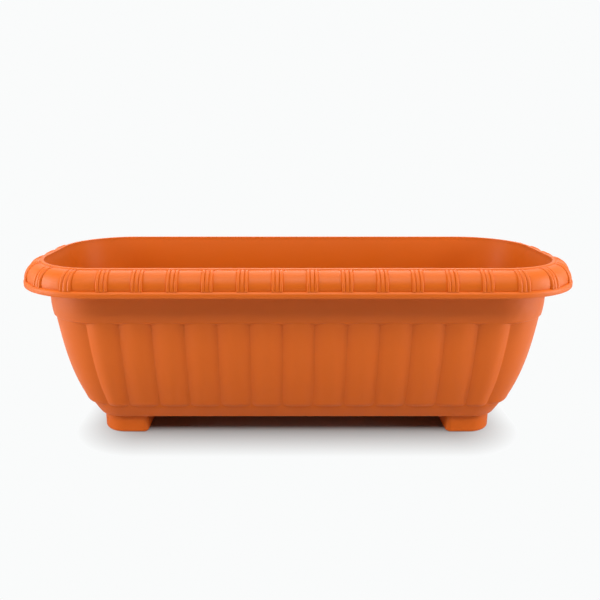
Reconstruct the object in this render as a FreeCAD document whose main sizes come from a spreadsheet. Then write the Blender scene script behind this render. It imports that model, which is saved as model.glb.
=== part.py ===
# Window box planter: a moulded trough with a rolled, ribbed rim and reeded walls,
# four push-in corner feet, a two-piece raised drainage grid and four drain plugs.
# Millimetres. +X runs along the box, +Y to the back, +Z up. The origin is on the
# standing surface, under the middle of the box.

import FreeCAD, Part
import math
import os

import Sketcher

Vector = FreeCAD.Vector
doc = FreeCAD.newDocument("window_box_planter")

# ---------------------------------------------------------------- driving sizes

SIZES = [
    ("rim_length", 600.0, "overall length, lip to lip"),
    ("rim_width", 244.0, "overall width, lip to lip"),
    ("rim_corner_radius", 92.0, "plan radius of the lip's corners"),
    ("total_height", 203.5, "standing surface to top bead"),
    ("rim_depth", 26.4, "top bead down to the lip's lower edge"),
    ("rim_overhang", 25.5, "lip face to collar face"),
    ("rim_mouth", 22.4, "lip face to the mouth's edge"),
    ("lip_band", 6.4, "height of the lip's upright band"),
    ("lip_ledge", 1.8, "crown set back from the lip face"),
    ("edge_break", 0.8, "rounding of moulded edges"),
    ("bead_width", 3.0, "thin bead round the mouth"),
    ("bead_rise", 1.2, "bead above the crown"),
    ("bead_standoff", 0.4, "crown's edge to the bead's foot"),
    ("wall", 2.2, "wall thickness"),
    ("floor", 3.0, "floor thickness"),
    ("floor_fillet", 5.0, "inside fillet at the floor"),
    ("collar_depth", 33.4, "plain collar below the lip"),
    ("collar_draft", 0.8, "how far the collar tapers in"),
    ("collar_roll", 12.0, "height over which the collar rolls under"),
    ("collar_tuck", 1.2, "how far the collar rolls in"),
    ("reed_setback", 4.8276, "collar face to the grooves at the reeds' top, at the front"),
    ("base_length", 462.0, "outside length at the base"),
    ("base_width", 118.0, "outside width at the base"),
    ("base_corner_radius", 32.0, "plan radius of the base corners"),
    ("wall_belly", 7.8, "outward bow of the end walls"),
    ("belly_skew", 0.6, "how much fuller the bow is low down than high up"),
    ("reed_relief", 2.6, "crest of a reed above its grooves"),
    ("reed_pitch", 34.2, "reed to reed on the long sides"),
    ("reeds_per_side", 13, "reeds on a long side"),
    ("end_reed_pitch", 36.0, "reed to reed on the ends"),
    ("corner_groove_angle", 15.0, "turn from the side to the first corner groove"),
    ("reed_foot", 10.0, "height over which a reed fades out"),
    ("band_height", 16.5, "plain band round the base"),
    ("band_ledge", 0.4, "band proud of the grooves"),
    ("rib_sets", 42, "sets of ribs round the rim"),
    ("rib_set_width", 11.4, "outer groove to outer groove of a set"),
    ("rib_width", 3.3, "one narrow rib of a set"),
    ("rib_relief", 1.0, "narrow rib above its grooves"),
    ("rib_middle_relief", 0.5, "middle rib above its grooves"),
    ("panel_relief", 0.8, "rim panel above its grooves"),
    ("rib_shift", -3.3, "sets moved along the front from the middle"),
    ("foot_height", 22.5, "standing surface to trough"),
    ("foot_length", 54.0, "foot along the box"),
    ("foot_width", 42.0, "foot across the box"),
    ("foot_setback", 5.0, "foot in from the base edge"),
    ("foot_inner_radius", 6.0, "plan radius of the foot's inner corners"),
    ("foot_wall", 2.5, "foot wall and sole"),
    ("foot_sole_radius", 3.4, "rounding under the foot"),
    ("spigot_radius", 6.0, "foot spigot"),
    ("spigot_reach", 9.0, "spigot above the foot"),
    ("spigot_clearance", 0.1, "socket round the spigot"),
    ("socket_room", 0.4, "socket past the spigot's tip"),
    ("socket_wall", 2.5, "socket boss wall and cap"),
    ("plug_hole_radius", 10.0, "drain hole"),
    ("plug_clearance", 0.1, "hole round the plug"),
    ("plug_inner_offset", 70.0, "inner drain holes from the middle"),
    ("plug_outer_offset", 150.0, "outer drain holes from the middle"),
    ("plug_flange_radius", 14.0, "plug flange"),
    ("plug_flange", 2.5, "flange thickness"),
    ("plug_stand", 3.5, "shank above the floor"),
    ("plug_wall", 2.0, "plug wall"),
    ("plug_grip", 3.0, "grip bar thickness"),
    ("grid_height", 25.0, "floor to the top of the grid"),
    ("grid_plate", 2.5, "grid plate thickness"),
    ("grid_skirt", 8.0, "depth of the grid's edge"),
    ("grid_skirt_wall", 2.2, "thickness of the grid's edge"),
    ("grid_gap", 1.8, "grid to the trough's wall"),
    ("grid_split", 1.0, "gap between the grid halves"),
    ("grid_split_radius", 4.0, "corner radius beside the split"),
    ("slot_width", 5.0, "drainage slot width"),
    ("slot_length", 32.0, "drainage slot length"),
    ("slot_pitch", 13.0, "slot to slot"),
    ("slot_rows_apart", 46.0, "slot row to slot row"),
    ("slots_per_row", 15, "slots in a row"),
    ("leg_radius", 4.5, "grid leg"),
    ("leg_rows_apart", 88.0, "leg row to leg row"),
    ("leg_pitch", 65.0, "leg to leg"),
    ("legs_per_row", 3, "legs in a row"),
    ("first_leg", 40.0, "middle of the box to the first legs"),
    ("end_leg", 212.0, "middle of the box to the end leg"),
    ("first_slot", 30.0, "middle of the box to the first slot"),
    ("finger_hole_radius", 9.0, "finger hole in a grid half"),
    ("finger_hole_offset", 15.0, "middle of the box to the finger hole"),
]

sheet = doc.addObject("Spreadsheet::Sheet", "Sizes")
for row, (alias, value, note) in enumerate(SIZES, start=1):
    sheet.set(f"A{row}", alias)
    sheet.set(f"B{row}", str(value))
    sheet.set(f"C{row}", note)
    sheet.setAlias(f"B{row}", alias)
doc.recompute()


def size(alias):
    """The value of one cell of the sheet."""
    return float(sheet.get(alias))


class Measure:
    """A number worked out from the sheet, with the expression that works it out."""

    def __init__(self, text, value):
        self.text = text
        self.value = value

    def combine(self, other, sign, value):
        return Measure(f"({self.text} {sign} {other.text})", value)

    def __add__(self, other):
        return self.combine(other, "+", self.value + other.value)

    def __sub__(self, other):
        return self.combine(other, "-", self.value - other.value)

    def __mul__(self, other):
        return self.combine(other, "*", self.value * other.value)

    def __truediv__(self, other):
        return self.combine(other, "/", self.value / other.value)


def cell(alias):
    """One cell of the sheet as a measure."""
    return Measure(f"Sizes.{alias}", size(alias))


def number(value):
    """A plain number as a measure."""
    return Measure(repr(float(value)), float(value))


NOTHING = number(0)
HALF = number(0.5)
ONE = number(1)
TWO = number(2)
FOUR = number(4)
CUT_PAST = ONE  # how far a cut runs past the face it opens
SLOT_END = number(0.98)  # end radius over half the slot's width, so short flats remain


def half(alias):
    """Half of one cell of the sheet."""
    return cell(alias) / TWO


def least(one, other):
    """The smaller of two measures."""
    return Measure(f"min({one.text}; {other.text})", min(one.value, other.value))


# ------------------------------------------------------------- outlines in plan

class Outline:
    """A rounded rectangle about the Z axis, walked anticlockwise from above.

    The walk starts where the front straight leaves the front left corner.
    """

    def __init__(self, half_length, half_width, radius):
        self.half_length = half_length
        self.half_width = half_width
        self.radius = radius
        self.front_half = half_length - radius
        self.end_half = half_width - radius
        corner = radius * math.pi / 2
        self.runs = [2 * self.front_half, corner, 2 * self.end_half, corner] * 2
        self.total = sum(self.runs)

    def inset(self, amount):
        """The outline moved inward by the same amount all round."""
        return Outline(
            self.half_length - amount, self.half_width - amount, self.radius - amount)

    def station(self, run, along):
        """Distance walked to a place: along is millimetres from a straight's middle,
        or radians into a corner."""
        start = sum(self.runs[:run])
        if run % 2:
            return start + along * self.radius
        return start + self.runs[run] / 2 + along

    def place(self, walked):
        """Point and outward normal after walking a distance."""
        walked = walked % self.total
        run = 0
        while run < 7 and walked > self.runs[run]:
            walked -= self.runs[run]
            run += 1
        side = run % 4
        if side == 0:
            x, y, nx, ny = walked - self.front_half, -self.half_width, 0.0, -1.0
        elif side == 2:
            x, y, nx, ny = self.half_length, walked - self.end_half, 1.0, 0.0
        else:
            turn = walked / self.radius + (0 if side == 1 else math.pi / 2)
            nx, ny = math.sin(turn), -math.cos(turn)
            x = self.front_half + self.radius * nx
            y = (-self.end_half if side == 1 else self.end_half) + self.radius * ny
        flip = -1 if run > 3 else 1
        return flip * x, flip * y, flip * nx, flip * ny


def plain_ring(outline, level):
    """Closed wire of four straights and four corner arcs at one level."""
    edges = []
    walked = 0.0
    for run, length in enumerate(outline.runs):
        start = Vector(*corner_point(outline, run), level)
        end = Vector(*corner_point(outline, run + 1), level)
        if run % 2:
            middle = Vector(*outline.place(walked + length / 2)[:2], level)
            edges.append(Part.Arc(start, middle, end).toShape())
        else:
            edges.append(Part.LineSegment(start, end).toShape())
        walked += length
    return Part.Wire(edges)


def corner_point(outline, number):
    """The point where one run of the outline meets the next."""
    number = number % 8
    flip = -1 if number > 3 else 1
    x, y = [
        (-outline.front_half, -outline.half_width),
        (outline.front_half, -outline.half_width),
        (outline.half_length, -outline.end_half),
        (outline.half_length, outline.end_half),
    ][number % 4]
    return flip * x, flip * y


def relief_ring(outline, level, stations, reliefs, share=1.0, lean=0.0, points=9):
    """Closed wire of low bows between grooves.

    Each bow rises by its relief times share, along a normal that leans up by lean.
    """
    edges = []
    across, up = math.cos(lean), math.sin(lean)
    for number, start in enumerate(stations):
        end = stations[(number + 1) % len(stations)]
        if end <= start:
            end += outline.total
        bow = []
        for step in range(points):
            part = step / (points - 1)
            rise = reliefs[number] * share * 4 * part * (1 - part)
            x, y, nx, ny = outline.place(start + (end - start) * part)
            bow.append(Vector(
                x + nx * rise * across, y + ny * rise * across, level + rise * up))
        curve = Part.BSplineCurve()
        curve.interpolate(bow)
        edges.append(curve.toShape())
    return Part.Wire(edges)


def skin(rings, straight=False):
    """The faces that join a stack of like rings."""
    return Part.makeLoft(rings, False, straight).Faces


def flat_ring(outer, inner):
    """Level face between two rings."""
    return Part.makeFace([outer, inner], "Part::FaceMakerBullseye").Faces


# -------------------------------------------------------------------- the trough

BASE_LEVEL = cell("foot_height")
FLOOR_LEVEL = BASE_LEVEL + cell("floor")
GRID_TOP = FLOOR_LEVEL + cell("grid_height")
LIP_LEVEL = cell("total_height") - cell("rim_depth")
SHELF_LEVEL = LIP_LEVEL - cell("collar_depth")

COLLAR_SHAPE = [
    half("rim_length") - cell("rim_overhang"),
    half("rim_width") - cell("rim_overhang"),
    cell("rim_corner_radius") - cell("rim_overhang")]
BASE_SHAPE = [half("base_length"), half("base_width"), cell("base_corner_radius")]


def wall_shape(level):
    """Half length, half width and corner radius of the grooves' outline at a level.

    The wall tapers from the collar to the base and bows outward between them,
    fullest a little below the middle. The reeds' setback holds where the wall
    tapers least and grows with the taper elsewhere.
    """
    taper = COLLAR_SHAPE[0] - BASE_SHAPE[0]
    side_taper = COLLAR_SHAPE[1] - BASE_SHAPE[1]
    top_share = cell("reed_setback") / least(taper, side_taper)
    down = (SHELF_LEVEL - level) / (SHELF_LEVEL - BASE_LEVEL)
    skew = ONE + cell("belly_skew") * (down - HALF)
    bow = cell("wall_belly") / taper * FOUR * down * (ONE - down) * skew
    share = top_share + (ONE - top_share) * down - bow
    return [high + (low - high) * share for high, low in zip(COLLAR_SHAPE, BASE_SHAPE)]


def wall_outline(level):
    """The grooves' outline at a level in millimetres."""
    return Outline(*[part.value for part in wall_shape(number(level))])


LIP = Outline(size("rim_length") / 2, size("rim_width") / 2, size("rim_corner_radius"))
COLLAR = Outline(*[part.value for part in COLLAR_SHAPE])
BASE = Outline(*[part.value for part in BASE_SHAPE])

BAND_TOP = BASE_LEVEL.value + size("band_height")
REED_FULL = BAND_TOP + size("reed_foot")
LIP_BOTTOM = LIP_LEVEL.value
COLLAR_BOTTOM = SHELF_LEVEL.value
LEDGE_LEVEL = LIP_BOTTOM + size("lip_band")
CROWN_TOP = size("total_height") - size("bead_rise")


def reed_stations(outline):
    """Where the grooves between reeds lie, walked round one outline."""
    grooves_per_side = int(size("reeds_per_side")) - 1
    turn = math.radians(size("corner_groove_angle"))
    long_side = [
        (number - (grooves_per_side - 1) / 2) * size("reed_pitch")
        for number in range(grooves_per_side)]
    corner = [turn, math.pi / 2 - turn]
    end = [-size("end_reed_pitch") / 2, size("end_reed_pitch") / 2]
    places = [long_side, corner, end, corner] * 2
    return [
        outline.station(run, along) for run, spots in enumerate(places) for along in spots]


def reed_ring(level, inward=0.0, share=1.0):
    """Reeded outline at a level, moved inward for the inside face."""
    outline = wall_outline(level).inset(inward)
    stations = reed_stations(outline)
    reliefs = [size("reed_relief")] * len(stations)
    return relief_ring(outline, level, stations, reliefs, share)


def spread(low, high, count):
    """Evenly spaced levels, both ends included."""
    return [low + (high - low) * step / (count - 1) for step in range(count)]


def reed_skins(inward, top):
    """Reeds of one wall face: the full height, then the rounded lower ends."""
    wall_rings = [reed_ring(level, inward) for level in spread(REED_FULL, top, 7)]
    ends = []
    for part in (0.0, 0.06, 0.25, 0.55, 1.0):
        share = math.sqrt(1 - (1 - part) ** 2)
        level = BAND_TOP + size("reed_foot") * part
        ledge = size("band_ledge") * (1 - part)
        ends.append(reed_ring(level, inward + ledge, share))
    return skin(wall_rings) + skin(ends), wall_rings[-1], ends[0]


def rim_ring(inset, level):
    """Plain ring at an inset from the lip face."""
    return plain_ring(LIP.inset(inset), level)


def collar_ring(part):
    """Ring of the collar's rolled lower edge, from its foot at part 0 up to part 1."""
    rise = size("collar_roll") * part
    taper = size("collar_draft") * (1 - rise / size("collar_depth"))
    tuck = size("collar_tuck") * (1 - part) ** 1.5
    return plain_ring(COLLAR.inset(taper + tuck), COLLAR_BOTTOM + rise)


CROWN_INSET = size("rim_mouth") - size("bead_width") - size("bead_standoff")
CROWN_REACH = CROWN_INSET - size("lip_ledge")
CROWN_RISE = CROWN_TOP - LEDGE_LEVEL
# share of the crown's turn, share of the relief that is left there
CROWN_FADE = ((0, 1), (0.2, 1), (0.4, 1), (0.6, 1), (0.8, 0.9), (0.93, 0.6), (1, 0))


def rib_stations():
    """Grooves of the rib sets, and the relief that follows each, along the mid crown."""
    middle = LIP.inset((size("rim_mouth") + size("lip_ledge")) / 2)
    sets = int(size("rib_sets"))
    pitch = middle.total / sets
    first = middle.station(0, size("rib_shift") + pitch / 2)
    half = size("rib_set_width") / 2
    offsets = [-half, size("rib_width") - half, half - size("rib_width"), half]
    heights = [
        size("rib_relief"), size("rib_middle_relief"),
        size("rib_relief"), size("panel_relief")]
    spots = []
    for number in range(sets):
        for offset, height in zip(offsets, heights):
            walked = (first + number * pitch + offset) % middle.total
            spots.append((walked, height))
    return middle, sorted(spots)


def moved_station(walked, source, target):
    """The same place of one offset outline on another."""
    run = 0
    while run < 7 and walked > source.runs[run]:
        walked -= source.runs[run]
        run += 1
    scale = target.runs[run] / source.runs[run]
    return sum(target.runs[:run]) + walked * scale


def crown_skin():
    """The ribbed quarter round between lip and bead, with its first and last ring."""
    middle, spots = rib_stations()
    reliefs = [height for walked, height in spots]
    highest = max(reliefs)
    rings = []
    for part, share in CROWN_FADE:
        turn = part * math.pi / 2
        reach = CROWN_REACH - highest * (1 - part)
        outline = LIP.inset(CROWN_INSET - reach * math.cos(turn))
        level = LEDGE_LEVEL + (CROWN_RISE - highest * share) * math.sin(turn)
        if part == 1:
            level = CROWN_TOP - highest
        stations = [moved_station(walked, middle, outline) for walked, height in spots]
        rings.append(relief_ring(outline, level, stations, reliefs, share, turn, 7))
    return skin(rings), rings[0], rings[-1]


def trough_faces():
    """Every face of the moulding, from the underside, over the rim, to the floor."""
    wall = size("wall")
    soft = size("edge_break")
    faces = []

    under = plain_ring(BASE.inset(soft), BASE_LEVEL.value)
    faces.append(Part.Face(under))
    band = [
        plain_ring(wall_outline(level), level)
        for level in spread(BASE_LEVEL.value + soft, BAND_TOP, 4)]
    faces += skin([under, band[0]], True) + skin(band)

    reeds, reed_top, reed_end = reed_skins(0.0, COLLAR_BOTTOM)
    faces += flat_ring(band[-1], reed_end) + reeds

    roll = [collar_ring(part) for part in spread(0.0, 1.0, 5)]
    collar_high = plain_ring(COLLAR, LIP_BOTTOM)
    faces += flat_ring(roll[0], reed_top) + skin(roll)
    faces += skin([roll[-1], collar_high], True)

    shell_reach = CROWN_REACH - wall
    shell_rise = CROWN_RISE - wall
    channel = [collar_high, rim_ring(CROWN_INSET + wall, LEDGE_LEVEL + shell_rise - wall)]
    faces += skin(channel, True)
    vault = []
    for turn in (90, 67.5, 45, 22.5, 0):
        angle = math.radians(turn)
        vault.append(rim_ring(
            CROWN_INSET - shell_reach * math.cos(angle),
            LEDGE_LEVEL + shell_rise * math.sin(angle)))
    faces += skin([channel[-1], vault[0]], True) + skin(vault)
    lip_inside = rim_ring(wall, LIP_BOTTOM)
    faces += skin([vault[-1], lip_inside], True)
    lip_under = rim_ring(soft / 2, LIP_BOTTOM)
    faces += flat_ring(lip_under, lip_inside)
    halfway = soft * (1 - math.cos(math.pi / 4))
    lip = [
        lip_under,
        rim_ring(0, LIP_BOTTOM + soft / 2),
        rim_ring(0, LEDGE_LEVEL - soft),
        rim_ring(halfway, LEDGE_LEVEL - halfway),
        rim_ring(soft, LEDGE_LEVEL)]
    faces += skin(lip, True)

    crown, crown_low, crown_high = crown_skin()
    faces += flat_ring(lip[-1], crown_low) + crown

    mouth = size("rim_mouth")
    across = size("bead_width")
    valley = CROWN_TOP - max(size("rib_relief"), size("panel_relief"))
    bead = []
    for turn in (0, 30, 60, 90, 120, 150, 180):
        angle = math.radians(turn)
        inset = mouth - across * (1 + math.cos(angle)) / 2
        level = valley + (size("total_height") - valley) * math.sin(angle)
        bead.append(rim_ring(inset, level))
    faces += flat_ring(crown_high, bead[0]) + skin(bead, True)

    inner_high = plain_ring(COLLAR.inset(wall), LIP_BOTTOM)
    shelf = COLLAR_BOTTOM + wall
    tuck = size("collar_tuck") / 2
    inner_low = plain_ring(COLLAR.inset(wall + size("collar_draft") + tuck), shelf)
    faces += skin([bead[-1], inner_high], True) + skin([inner_high, inner_low], True)

    inner_reeds, inner_top, inner_end = reed_skins(wall, shelf)
    faces += flat_ring(inner_low, inner_top) + inner_reeds
    fillet = size("floor_fillet")
    floor_level = FLOOR_LEVEL.value
    inner_band = [
        plain_ring(wall_outline(level).inset(wall), level)
        for level in spread(floor_level + fillet, BAND_TOP, 3)]
    faces += flat_ring(inner_band[-1], inner_end) + skin(inner_band)
    curve = []
    for turn in (0, 22.5, 45, 67.5, 90):
        angle = math.radians(turn)
        level = floor_level + fillet * (1 - math.sin(angle))
        inward = wall + fillet * (1 - math.cos(angle))
        curve.append(plain_ring(wall_outline(level).inset(inward), level))
    faces += skin(curve)
    faces.append(Part.Face(curve[-1]))
    return faces


def bind(thing, **measures):
    """Bind properties to the sheet; a double underscore stands for a dot."""
    for name, measure in measures.items():
        thing.setExpression(name.replace("__", "."), measure.text)


def cylinder(name, radius, height, x, y, z):
    """An upright cylinder bound to the sheet."""
    piece = doc.addObject("Part::Cylinder", name)
    bind(piece, Radius=radius, Height=height, Placement__Base__x=x,
         Placement__Base__y=y, Placement__Base__z=z)
    return piece


FOOT_X = half("base_length") - cell("foot_setback") - half("foot_length")
FOOT_Y = half("base_width") - cell("foot_setback") - half("foot_width")
SOCKET_RADIUS = cell("spigot_radius") + cell("spigot_clearance")
SOCKET_DEPTH = cell("spigot_reach") + cell("socket_room")

FEET = [
    ("foot_front_left", -1, -1),
    ("foot_front_right", 1, -1),
    ("foot_rear_right", 1, 1),
    ("foot_rear_left", -1, 1),
]
PLUGS = [
    ("drain_plug_far_left", NOTHING - cell("plug_outer_offset")),
    ("drain_plug_left", NOTHING - cell("plug_inner_offset")),
    ("drain_plug_right", cell("plug_inner_offset")),
    ("drain_plug_far_right", cell("plug_outer_offset")),
]


def make_trough():
    """The moulding with its foot sockets and drain holes."""
    shell = Part.Solid(Part.makeShell(trough_faces()))
    moulding = doc.addObject("Part::Feature", "trough_moulding")
    moulding.Shape = shell

    bosses = []
    cuts = []
    for name, side_x, side_y in FEET:
        x = FOOT_X * number(side_x)
        y = FOOT_Y * number(side_y)
        boss_height = SOCKET_DEPTH + cell("socket_wall")
        bosses.append(cylinder(
            name + "_boss", SOCKET_RADIUS + cell("socket_wall"), boss_height,
            x, y, BASE_LEVEL))
        cuts.append(cylinder(
            name + "_socket", SOCKET_RADIUS, SOCKET_DEPTH + CUT_PAST,
            x, y, BASE_LEVEL - CUT_PAST))
    for name, x in PLUGS:
        cuts.append(cylinder(
            name + "_hole", cell("plug_hole_radius"), cell("floor") + CUT_PAST * TWO,
            x, NOTHING, BASE_LEVEL - CUT_PAST))

    joined = doc.addObject("Part::MultiFuse", "trough_with_bosses")
    joined.Shapes = [moulding] + bosses
    tools = doc.addObject("Part::MultiFuse", "trough_holes")
    tools.Shapes = cuts
    trough = doc.addObject("Part::Cut", "trough")
    trough.Base = joined
    trough.Tool = tools
    return trough


# ------------------------------------------------------------- sketch and feature

def new_body(name):
    body = doc.addObject("PartDesign::Body", name)
    body.Label = name
    return body


def new_sketch(body, name, plane="XY_Plane", lift=None):
    """A sketch on one of the body's own planes, lifted along its normal."""
    sketch = body.newObject("Sketcher::SketchObject", f"{body.Name}_{name}")
    support = [part for part in body.Origin.OriginFeatures if part.Role == plane][0]
    sketch.AttachmentSupport = [(support, "")]
    sketch.MapMode = "FlatFace"
    if lift is not None:
        sketch.AttachmentOffset = FreeCAD.Placement(
            Vector(0, 0, lift.value), FreeCAD.Rotation())
        bind(sketch, AttachmentOffset__Base__z=lift)
    return sketch


def rule(sketch, name, measure, kind, *where):
    """A sized constraint bound to the sheet."""
    index = sketch.addConstraint(Sketcher.Constraint(kind, *where, measure.value))
    sketch.renameConstraint(index, name)
    sketch.setExpression(f"Constraints.{name}", measure.text)


def draw_rounded(sketch, left, right, front, back, radii, tag=""):
    """Rounded rectangle: four distances from the sketch origin, one radius a corner.

    Corners are named anticlockwise from the front right. left and front are how far
    the sides lie on the negative side of the origin.
    """
    x_low, x_high = -left.value, right.value
    y_low, y_high = -front.value, back.value
    corners = [(x_high, y_low), (x_high, y_high), (x_low, y_high), (x_low, y_low)]
    ahead = [(1, 0), (0, 1), (-1, 0), (0, -1)]
    first = sketch.GeometryCount
    for side in range(4):
        before = corners[side - 1]
        corner = corners[side]
        step = ahead[side]
        after = ahead[(side + 1) % 4]
        lead = radii[side - 1].value
        radius = radii[side].value
        start = Vector(before[0] + step[0] * lead, before[1] + step[1] * lead, 0)
        end = Vector(corner[0] - step[0] * radius, corner[1] - step[1] * radius, 0)
        sketch.addGeometry(Part.LineSegment(start, end))
        middle = end + Vector(after[0] * radius, after[1] * radius, 0)
        turn = math.pi * (side - 1) / 2
        circle = Part.Circle(middle, Vector(0, 0, 1), radius)
        sketch.addGeometry(Part.ArcOfCircle(circle, turn, turn + math.pi / 2))
    for side in range(4):
        line = first + 2 * side
        arc = line + 1
        following = first + 2 * ((side + 1) % 4)
        sketch.addConstraint(Sketcher.Constraint("Tangent", line, 2, arc, 1))
        sketch.addConstraint(Sketcher.Constraint("Tangent", arc, 2, following, 1))
        sketch.addConstraint(Sketcher.Constraint(
            "Horizontal" if side % 2 == 0 else "Vertical", line))
        rule(sketch, f"radius{tag}_{side}", radii[side], "Radius", arc)
    rule(sketch, f"front{tag}", front, "DistanceY", first, 1, -1, 1)
    rule(sketch, f"right{tag}", right, "DistanceX", -1, 1, first + 2, 1)
    rule(sketch, f"back{tag}", back, "DistanceY", -1, 1, first + 4, 1)
    rule(sketch, f"left{tag}", left, "DistanceX", first + 6, 1, -1, 1)


def draw_circle(sketch, radius, x, y, tag=""):
    """Circle whose centre is x, y from the sketch origin."""
    circle = Part.Circle(Vector(x.value, y.value, 0), Vector(0, 0, 1), radius.value)
    index = sketch.addGeometry(circle)
    rule(sketch, f"radius{tag}", radius, "Radius", index)
    rule(sketch, f"x{tag}", x, "DistanceX", -1, 1, index, 3)
    rule(sketch, f"y{tag}", y, "DistanceY", -1, 1, index, 3)


def pad(body, sketch, length, name, reverse=False):
    """A pad; it joins what the body already holds."""
    feature = body.newObject("PartDesign::Pad", f"{body.Name}_{name}")
    feature.Profile = sketch
    feature.Reversed = reverse
    bind(feature, Length=length)
    return feature


def pocket(body, sketch, depth, name, reverse=False):
    """A pocket against the sketch's normal, or along it."""
    feature = body.newObject("PartDesign::Pocket", f"{body.Name}_{name}")
    feature.Profile = sketch
    feature.Reversed = reverse
    bind(feature, Length=depth)
    return feature


def flat_edges(feature, level):
    """Names of the edges that lie at one level of a feature's shape."""
    names = []
    for index, edge in enumerate(feature.Shape.Edges, start=1):
        box = edge.BoundBox
        if abs(box.ZMin - level) < 0.001 and abs(box.ZMax - level) < 0.001:
            names.append(f"Edge{index}")
    return names


# ---------------------------------------------------------------------- the feet

def make_foot(name, side_x, side_y):
    """A hollow foot with a sole, and a spigot for the socket above it."""
    body = new_body(name)
    half_x = half("foot_length")
    half_y = half("foot_width")
    wall = cell("foot_wall")
    outer = cell("base_corner_radius") - cell("foot_setback")
    inner = cell("foot_inner_radius")
    outer_corner = [(1, -1), (1, 1), (-1, 1), (-1, -1)].index((side_x, side_y))
    radii = [outer if corner == outer_corner else inner for corner in range(4)]

    plan = new_sketch(body, "plan")
    draw_rounded(plan, half_x, half_x, half_y, half_y, radii)
    block = pad(body, plan, BASE_LEVEL, "block")
    doc.recompute()
    sole = body.newObject("PartDesign::Fillet", f"{name}_sole_edge")
    sole.Base = (block, flat_edges(block, 0))
    bind(sole, Radius=cell("foot_sole_radius"))

    hollow = new_sketch(body, "hollow_plan", lift=BASE_LEVEL)
    draw_rounded(
        hollow, half_x - wall, half_x - wall, half_y - wall, half_y - wall,
        [radius - wall for radius in radii])
    pocket(body, hollow, BASE_LEVEL - wall, "hollow")

    spigot_plan = new_sketch(body, "spigot_plan", lift=wall)
    draw_circle(spigot_plan, cell("spigot_radius"), NOTHING, NOTHING)
    spigot = pad(
        body, spigot_plan, BASE_LEVEL - wall + cell("spigot_reach"), "spigot")
    doc.recompute()
    tip = body.newObject("PartDesign::Chamfer", f"{name}_spigot_tip")
    top = size("foot_height") + size("spigot_reach")
    tip.Base = (spigot, flat_edges(spigot, top))
    bind(tip, Size=cell("edge_break"))

    bind(body, Placement__Base__x=FOOT_X * number(side_x),
         Placement__Base__y=FOOT_Y * number(side_y))
    return body


# --------------------------------------------------------------------- the plugs

def make_plug(name, x):
    """A flanged plug, hollow from below, with a grip bar across the hollow."""
    body = new_body(name)
    shank = cell("plug_hole_radius") - cell("plug_clearance")
    flange = cell("plug_flange_radius")
    bore = shank - cell("plug_wall")
    below = cell("plug_flange")
    top = cell("floor") + cell("plug_stand")
    soft = cell("edge_break")
    roof = top - cell("plug_wall")

    profile = new_sketch(body, "profile", "XZ_Plane")
    corners = [
        (NOTHING, top), (shank - soft, top), (shank, top - soft), (shank, NOTHING),
        (flange - soft, NOTHING), (flange, NOTHING - soft), (flange, NOTHING - below),
        (bore, NOTHING - below), (bore, roof), (NOTHING, roof)]
    draw_polygon(profile, corners)
    turned = body.newObject("PartDesign::Revolution", f"{name}_turned")
    turned.Profile = profile
    turned.ReferenceAxis = (profile, ["V_Axis"])
    turned.Angle = 360

    bar = new_sketch(body, "grip_plan", lift=NOTHING - below)
    reach = bore + soft
    thin = half("plug_grip")
    draw_polygon(bar, [
        (NOTHING - reach, NOTHING - thin), (reach, NOTHING - thin), (reach, thin),
        (NOTHING - reach, thin)])
    pad(body, bar, below + roof, "grip")

    bind(body, Placement__Base__x=x, Placement__Base__z=BASE_LEVEL)
    return body


def draw_polygon(sketch, corners):
    """Closed polygon, each corner held at its own distances from the origin."""
    spots = [Vector(x.value, y.value, 0) for x, y in corners]
    for start, end in zip(spots, spots[1:] + spots[:1]):
        sketch.addGeometry(Part.LineSegment(start, end))
    for index in range(len(corners)):
        sketch.addConstraint(Sketcher.Constraint(
            "Coincident", index, 2, (index + 1) % len(corners), 1))
    for index, (x, y) in enumerate(corners):
        rule(sketch, f"x_{index}", x, "DistanceX", -1, 1, index, 1)
        rule(sketch, f"y_{index}", y, "DistanceY", -1, 1, index, 1)


# ---------------------------------------------------------------------- the grid

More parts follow.
